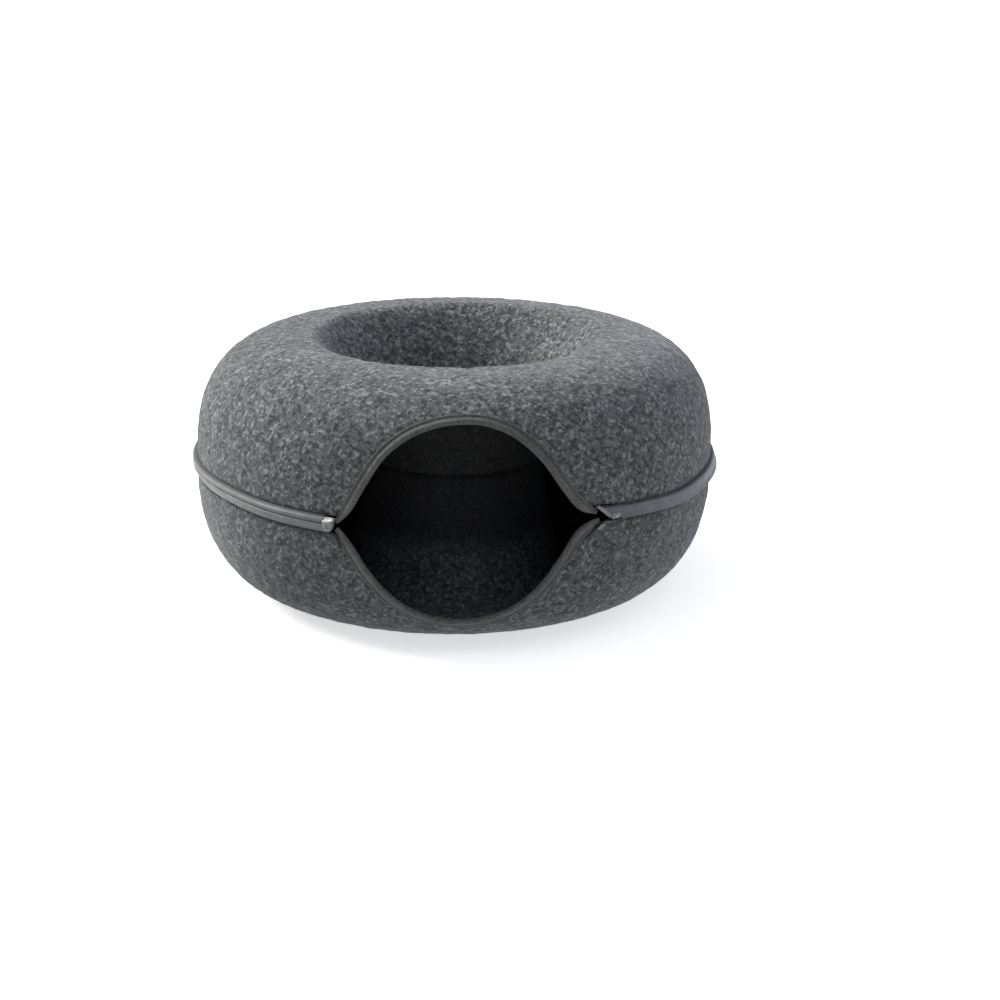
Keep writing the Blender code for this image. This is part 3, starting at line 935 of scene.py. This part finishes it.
def zip_tape(half):
    """The tape's closed section, carried round the doughnut."""
    start, end = TAPE_ENDS[half]
    front, step = TAPE_FRONT
    angle = np.r_[np.arange(start, front - step / 2, step), np.linspace(front, end, TAPE_STATIONS)]
    section = strip_section(tape_line(half, angle), CLOTH_THICK)
    uv = cloth_uv(np.radians(angle) * FELT_RADIUS, TAPE_AROUND, section.shape[1])
    angle, lift, arc = angle[:, None], section[..., 0], section[..., 1]
    slant = CUT_SLANT * (1 - smooth(0, CUT_SLANT_FADE, angle - start))
    points = on_felt(half, angle - slant * arc, arc, lift)
    cut = 1 - smooth(*LIP[half], angle - start)
    right = (1 + to_the_right(angle)) / 2
    felt = zip_edge(half, angle)
    share = (felt - arc) / (felt - HALVES[half][0] * parting(angle))
    # painted highlight on the upper tape's roll, on the right side
    roll = right * smooth(*ROLL_SHARE, share) * smooth(*SWELL_TURN, angle)
    values = {
        # painted highlight on the tapes' cut right ends
        "cut": cut * (1 - smooth(*CUT_SHARE, share)),
        # painted shade where the tape lies in the seam under the felt's edge
        "sewn": (1 - smooth(0, SEWN_REACH, felt - arc)) * (1 - cut),
        # painted shade: the right side of the band is darker and bluer, for the light falling there
        "to_right": right,
        "roll": roll * (half == "upper"),
    }
    flip = half == "upper"
    piece = swept(f"zip_tape_{half}_strip", points, "zip_tape", flip=flip, values=values, uv=uv)
    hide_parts(f"zip_tape_{half}")
    return piece


tapes = {half: zip_tape(half) for half in HALVES}
tape_finish = woven_material(
    "coated_zip_tape",
    (0.138, 0.142, 0.148),
    (0.175, 0.180, 0.188),
    pitch=0.4 * MM,
    depth=0.05 * MM,
    speckled=0.1,
    shaded={
        # painted highlight on the cut ends
        "cut": (2.7, 2.6, 2.4),
        # painted shade along the felt's edge
        "sewn": (0.2, 0.2, 0.2),
        # painted shade: darker and bluer on the right side, for the light falling there
        "to_right": (0.57, 0.60, 0.68),
        # painted highlight on the upper tape's roll
        "roll": (1.4, 1.4, 1.4),
    },
    constants={"Specular IOR Level": 0.4, "Sheen Weight": 0.3, "Sheen Roughness": 0.35},
)
for half, strip in tapes.items():
    strip.data.materials.append(tape_finish)

# ---------------------------------------------------------------------------------------------
# The end clip at the doorway's left corner: a light satin clip pressed over both tapes, with a
# dimple in a raised ring where the press bent it.
# ---------------------------------------------------------------------------------------------
CLIP_ANGLE = -25.5
CLIP_HEIGHT = SEAM_HEIGHT - 1.0 * MM
CLIP_SIZE = (9.4 * MM, 6.4 * MM, 11.8 * MM)  # along the zip, through it, up
CLIP_CORNERS = 7.0  # the power of its soft corners
CLIP_CAP = 3.6 * MM  # the upper lip, which carries a painted highlight
CLIP_LEAN = 1.8 * MM  # by how much the lip leans back
CLIP_CREASE = (0.5 * MM, 0.4 * MM)  # the depth and width of the crease under the lip
CLIP_BACK = 0.45 * MM  # by how much the whole front stands back
CLIP_WEDGE = 1.6 * MM  # by how much the lip is lower at its right end
CLIP_TAPER = 0.5  # both sides slant in towards the bottom
DIMPLE = (0.2 * MM, -1.5 * MM)  # from the clip's middle, to the right and up
DIMPLE_RADIUS = 1.5 * MM
DIMPLE_DEPTH = 1.0 * MM
RING_HEIGHT = 0.35 * MM
CLIP_GRID = (120, 84)
FRONT = (0.2, 0.9)  # of half the depth, where a fitting's front sets in


def round_block(size, grid, power):
    """A block's skin with soft corners: each direction reaches (|x|^p + |y|^p + |z|^p)^(-1/p).

    The directions go round in columns, and from the lower pole to the upper one in rows.
    """
    around = np.linspace(-math.pi, math.pi, grid[0], endpoint=False)[:, None]
    up = np.linspace(-math.pi / 2, math.pi / 2, grid[1] + 2)[1:-1]
    x, y, z = np.cos(up) * np.cos(around), np.cos(up) * np.sin(around), np.sin(up) + 0 * around
    ways = np.stack([x, y, z], -1)
    reach = (np.abs(ways) ** power).sum(axis=-1, keepdims=True) ** (-1 / power)
    return ways * reach * np.array(size) / 2


def around_poles(name, points, slot, **extras):
    """A closed skin of columns and rows, whose first and last rows are each closed by one face."""
    columns, rows, _ = points.shape
    here, row = np.arange(columns)[:, None], np.arange(rows - 1)
    there = (here + 1) % columns
    corners = (here * rows + row, there * rows + row, there * rows + row + 1, here * rows + row + 1)
    faces = list(np.stack(corners, -1).reshape(-1, 4))
    faces += [np.arange(columns)[::-1] * rows, np.arange(columns) * rows + rows - 1]
    return piece_of(name, points, faces, slot, **extras)


def on_zip(points, angle, reach, height):
    """Points of a small fitting turned to face outwards at an angle, a reach and a height."""
    turn = math.radians(angle)
    x = points[..., 0] * math.cos(turn) - points[..., 1] * math.sin(turn) + reach * math.sin(turn)
    y = points[..., 0] * math.sin(turn) + points[..., 1] * math.cos(turn) - reach * math.cos(turn)
    return swayed(np.stack([x, AXIS_Y + y, height + points[..., 2]], -1))


def end_clip():
    """The clip: a soft block with a leaning lip, a crease under it, and the dimple in its ring.

    The front moves in by a Gauss bell for the dimple and out by a ring-shaped bell round it.
    """
    x, y, z = np.moveaxis(round_block(CLIP_SIZE, CLIP_GRID, CLIP_CORNERS), -1, 0)
    width, deep, tall = CLIP_SIZE
    front = smooth(*FRONT, -y / (deep / 2))
    away = np.hypot(x - DIMPLE[0], z - DIMPLE[1]) / DIMPLE_RADIUS
    dent = DIMPLE_DEPTH * bell(away, 1, 4)
    ring = RING_HEIGHT * bell(away - 1.5, 0.35)
    fold = tall / 2 - CLIP_CAP + CLIP_WEDGE * smooth(0, width / 2, x)
    lip = CLIP_LEAN * smooth(fold, tall / 2, z)
    crease = CLIP_CREASE[0] * bell(z - fold, CLIP_CREASE[1])
    y = y + front * (dent - ring + crease + lip + CLIP_BACK)
    x = x * (1.05 - CLIP_TAPER * smooth(0.1 * tall, -0.6 * tall, z))
    points = on_zip(np.stack([x, y, z], -1), CLIP_ANGLE, FELT_RADIUS + 3.0 * MM, CLIP_HEIGHT)
    # painted highlight on the lip, above the crease
    painted_highlight = smooth(fold - 0.3 * MM, fold + 0.5 * MM, z)
    piece = around_poles("zip_end_clip_body", points, "zip_fitting", values={"painted_highlight": painted_highlight})
    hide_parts("zip_end_clip")
    return piece


clip = end_clip()


def fitting_material():
    """Satin light plastic, with a painted highlight on the clip's lip and the slider's bridge, fine
    moulding grain and a few scuffs.
    """
    material, tree = finish("satin_fitting", {"Specular IOR Level": 0.5, "Coat Weight": 0.15})
    place = place_on(tree)
    grain, scuffs = noise(tree, place, 2500.0), noise(tree, place, 420.0, 4.0)
    colour = blended(tree, painted(tree, "painted_highlight"), (0.2, 0.202, 0.2), (0.66, 0.66, 0.65))
    colour = blended(tree, between(tree, scuffs, 0.5, 0.75, 0.0, 0.35), colour, (0.1, 0.1, 0.1))
    rough, normal = varied(tree, scuffs, 0.36, 0.55), bumped(tree, grain, 0.5, 0.04 * MM)
    return wired(material, {"Base Color": colour, "Roughness": rough, "Normal": normal})


fitting_finish = fitting_material()
clip.data.materials.append(fitting_finish)

# ---------------------------------------------------------------------------------------------
# The slider at the doorway's right corner: a small light body between the parted tapes, waisted
# in its middle, with a low bridge over its front for the pull that this one lacks.
# ---------------------------------------------------------------------------------------------
SLIDER_ANGLE = 33.9
SLIDER_SIZE = (8.4 * MM, 4.6 * MM, SLIDER_HEIGHT)  # along the zip, through it, up
SLIDER_RISE = 3.6 * MM  # above the line where the tapes meet
SLIDER_CORNERS = 4.5
SLIDER_WAIST = 0.16
SLIDER_BRIDGE = (0.46, 1.1 * MM, 0.9 * MM)  # share of the length, width and height of the bridge
SLIDER_GRID = (96, 64)


def slider():
    """The slider: a soft block, narrower in its middle, with a ridge along its front."""
    x, y, z = np.moveaxis(round_block(SLIDER_SIZE, SLIDER_GRID, SLIDER_CORNERS), -1, 0)
    length, deep, _ = SLIDER_SIZE
    along = np.abs(2 * x / length)
    z = z * (1 - SLIDER_WAIST * (1 - smooth(0, 0.8, along)))
    share, width, proud = SLIDER_BRIDGE
    over = (1 - smooth(share - 0.25, share + 0.1, along)) * bell(z, width, 4)
    y = y + smooth(*FRONT, -y / (deep / 2)) * proud * (1 - over)
    height = SEAM_HEIGHT + parting(SLIDER_ANGLE) + SLIDER_RISE
    points = on_zip(np.stack([x, y, z], -1), SLIDER_ANGLE, FELT_RADIUS + 3.2 * MM, height)
    # the slider's body is a little darker than the clip's, and its bridge carries a painted highlight
    piece = around_poles("zip_slider_body", points, "zip_fitting", values={"painted_highlight": 0.5 * over - 0.1})
    piece.data.materials.append(fitting_finish)
    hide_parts("zip_slider")
    return piece


slider()

# ---------------------------------------------------------------------------------------------
# The stage: a plain white floor, soft daylight from all round, one large soft light from the upper
# left and a little behind, and weaker ones along the right edge and from above the doorway.
# ---------------------------------------------------------------------------------------------
CAMERA_TARGET = (0.0, AXIS_Y, 0.119)
CAMERA_ELEVATION = 16.48
CAMERA_DISTANCE = 1.7896
CAMERA_LENS = 66.47
CAMERA_SHIFT = (0.0459, -0.0474)
FLOOR_HALF = 60.0
FLOOR_DROP = 0.4 * MM

corners = FLOOR_HALF * np.array([(-1, -1, 0), (1, -1, 0), (1, 1, 0), (-1, 1, 0)]) - (0, 0, FLOOR_DROP)
floor_mesh = bpy.data.meshes.new("floor")
floor_mesh.from_pydata(corners, [], [(0, 1, 2, 3)])
floor = placed("floor", floor_mesh)
floor_glow = {"Emission Color": (1, 1, 1, 1), "Emission Strength": 0.6}
floor_finish, _ = finish("white_floor", {"Base Color": (0.9, 0.9, 0.9, 1), "Roughness": 0.9, **floor_glow})
floor_mesh.materials.append(floor_finish)
floor.visible_diffuse = False  # the sky's lower half stands for what it throws back

LIGHTS = {
    # the way from the object to the light, its strength, its width in degrees, and its colour
    "key": ((-0.72, 0.34, 0.61), 4.95, 35.0, (1.0, 0.99, 0.92)),
    "edge": ((0.86, 0.45, 0.14), 1.15, 40.0, (1.0, 1.0, 1.0)),
    "top": ((0.10, -0.30, 0.95), 0.5, 60.0, (1.0, 1.0, 1.0)),
}
for name, (way, strength, width, colour) in LIGHTS.items():
    light = bpy.data.lights.new(name, "SUN")
    light.energy = strength
    light.color = colour
    light.angle = math.radians(width)
    placed(name, light).rotation_euler = Vector(way).to_track_quat("Z", "Y").to_euler()

SKY_LIGHT = (0.34, 0.36, 0.41)
GROUND_LIGHT = (0.49, 0.495, 0.48)
HORIZON = 0.1  # the sine of the height over which one turns into the other
world = bpy.data.worlds.new("soft_daylight")
bpy.context.scene.world = world
world.use_nodes = True
sky = world.node_tree
seen = node(sky, "LightPath").outputs["Is Camera Ray"]
way = node(sky, "TexCoord").outputs["Generated"]
upward = between(sky, node(sky, "SeparateXYZ", {0: way}).outputs[2], -HORIZON, HORIZON)
around = blended(sky, upward, GROUND_LIGHT, SKY_LIGHT)
shown = blended(sky, seen, around, (1.0, 1.0, 1.0))
sky.links.new(shown, sky.nodes["Background"].inputs["Color"])

camera = bpy.data.cameras.new("camera")
camera.lens = CAMERA_LENS
camera.sensor_width = 36.0
camera.shift_x, camera.shift_y = CAMERA_SHIFT
camera.clip_start = 0.05
camera_object = placed("camera", camera)
tilt = math.radians(CAMERA_ELEVATION)
away = Vector((0, -math.cos(tilt), math.sin(tilt)))
camera_object.location = Vector(CAMERA_TARGET) + CAMERA_DISTANCE * away
camera_object.rotation_euler = away.to_track_quat("Z", "Y").to_euler()
bpy.context.scene.camera = camera_object
bpy.context.scene.view_settings.view_transform = "Standard"
